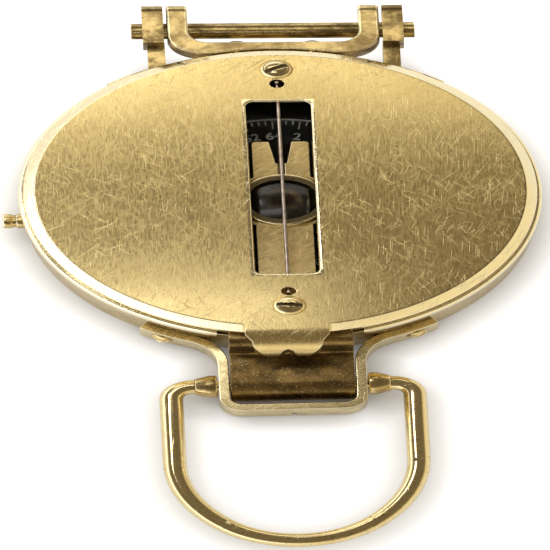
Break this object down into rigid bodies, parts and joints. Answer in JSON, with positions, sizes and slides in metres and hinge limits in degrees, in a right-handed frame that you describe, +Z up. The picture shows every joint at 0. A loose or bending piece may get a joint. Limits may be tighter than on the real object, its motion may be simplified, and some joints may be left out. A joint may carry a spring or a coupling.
{
  "type": "folding sighting compass",
  "caption": "Folding brass sighting compass with a slotted lid and sight wire, a lens eyepiece folded under the lid, a floating card and a wire thumb ring.",
  "frame": {"origin": "centre of the drum case's flat underside", "axes": "+Z up through the lid, +Y towards the lid's hinge, -Y towards the thumb ring"},
  "size_m": [0.0588, 0.1048, 0.0155],
  "materials": {
    "brass_lid": "satin face with fine hand-rubbed scratches and a polished chamfer",
    "brass_case": "polished turned brass",
    "brass_aged": "satin brass darkened by handling",
    "brass_polished": "bright polished brass",
    "brass_screw": "polished screw heads with dark slots",
    "steel_post": "hardened point, ground",
    "steel_wire": "bright drawn wire",
    "magnet_steel": "blued",
    "card_black": "matt black with white markings",
    "window_glass": "clear polished glass",
    "gasket": "matt",
    "jewel": "polished synthetic jewel"
  },
  "bodies": {
    "case": {"case_drum": "brass_case", "base_plate": "brass_case", "base_screws": "brass_screw", "pivot_post": "steel_post", "crystal_gasket": "gasket", "crystal": "window_glass", "crystal_ring": "brass_case", "hinge_ears": "brass_aged", "ear_screws": "brass_screw", "rear_strap": "brass_aged", "strap_screws": "brass_screw", "hinge_pin": "brass_aged", "plunger_bush": "brass_case"},
    "lid": {"lid_cover": "brass_lid", "lid_yoke": "brass_aged", "yoke_screws": "brass_screw", "sight_wire": "steel_wire", "wire_screws": "brass_screw"},
    "eyepiece": {"eyepiece_bracket": "brass_aged", "lens_ring": "brass_polished", "eyepiece_lens": "window_glass"},
    "ring": {"thumb_ring": "brass_polished", "ring_collars": "brass_aged"},
    "card": {"compass_card": "card_black", "card_magnets": "magnet_steel", "card_hub": "brass_case", "card_jewel": "jewel"},
    "plunger": {"lock_plunger": "brass_aged", "plunger_spring": "steel_wire"}
  },
  "joints": [
    {"name": "lid_hinge", "type": "hinge", "parent": "case", "child": "lid", "pos_m": [0, 0.03295, 0.0098], "axis": [-1, 0, 0], "range_deg": [0, 180]},
    {"name": "eyepiece_hinge", "type": "hinge", "parent": "case", "child": "eyepiece", "pos_m": [0, -0.0354, 0.0031], "axis": [1, 0, 0], "range_deg": [0, 90]},
    {"name": "ring_swing", "type": "hinge", "parent": "case", "child": "ring", "pos_m": [0, -0.0354, 0.0031], "axis": [-1, 0, 0], "range_deg": [-3, 125]},
    {"name": "card_spin", "type": "hinge", "parent": "case", "child": "card", "pos_m": [0, 0, 0.0067], "axis": [0, 0, 1], "continuous": true},
    {"name": "plunger_press", "type": "slide", "parent": "case", "child": "plunger", "axis": [1, 0, 0], "range_m": [0, 0.0012], "stiffness_N_per_m": 400, "springref_m": -0.0005, "deforming": ["plunger_spring"]}
  ],
  "couplings": [
    {"joint": "eyepiece_hinge", "follows": "lid_hinge", "ratio": 0.5}
  ]
}
